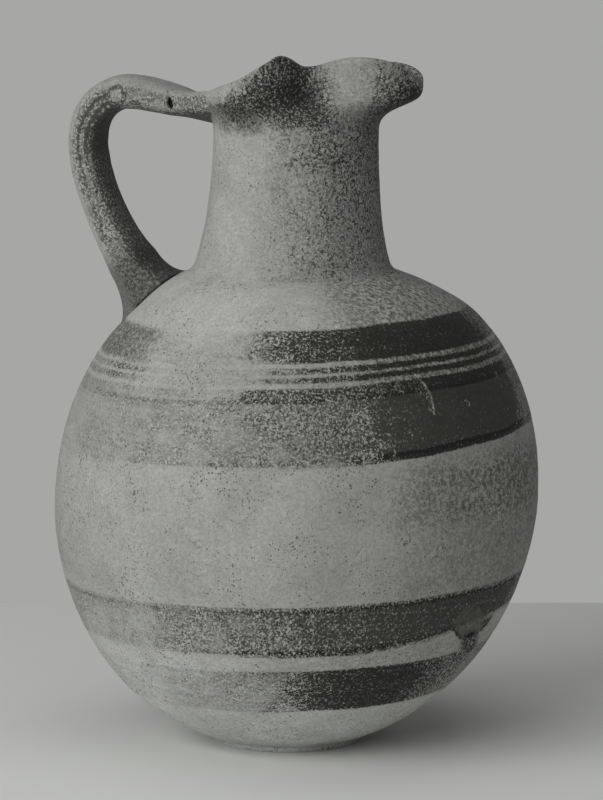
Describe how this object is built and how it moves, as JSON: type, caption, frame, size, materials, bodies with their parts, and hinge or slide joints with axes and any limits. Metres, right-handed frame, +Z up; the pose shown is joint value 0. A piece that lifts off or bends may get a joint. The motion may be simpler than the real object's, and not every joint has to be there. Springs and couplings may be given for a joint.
{
  "type": "trefoil-mouthed jug",
  "caption": "Globular fired-clay jug with a pinched trefoil mouth, strap handle, flat foot and painted slip bands; holds and pours liquid.",
  "frame": {"origin": "centre of the foot's flat underside, on the floor", "axes": "+Z up, +X towards the pouring spout, -X towards the handle"},
  "size_m": [0.1856, 0.1856, 0.2666],
  "materials": {
    "clay": "matt, worn and pitted",
    "black_slip": "matt, flaked",
    "red_slip": "matt, flaked"
  },
  "bodies": {
    "root": {"foot_disc": "clay", "lower_bowl": "clay", "shoulder_dome": "clay", "neck": "clay", "neck_luting_ring": "clay", "trefoil_mouth": "clay", "handle_strap": "clay", "handle_top_pad": "clay", "handle_root_pad": "clay", "slip_shoulder_black_band": "black_slip", "slip_fine_line_upper": "black_slip", "slip_fine_line_lower": "black_slip", "slip_shoulder_upper_border": "black_slip", "slip_shoulder_lower_border": "black_slip", "slip_belly_upper_border": "black_slip", "slip_belly_lower_border": "black_slip", "slip_lower_black_band": "black_slip", "slip_shoulder_red_band": "red_slip", "slip_belly_red_band": "red_slip"}
  },
  "joints": []
}
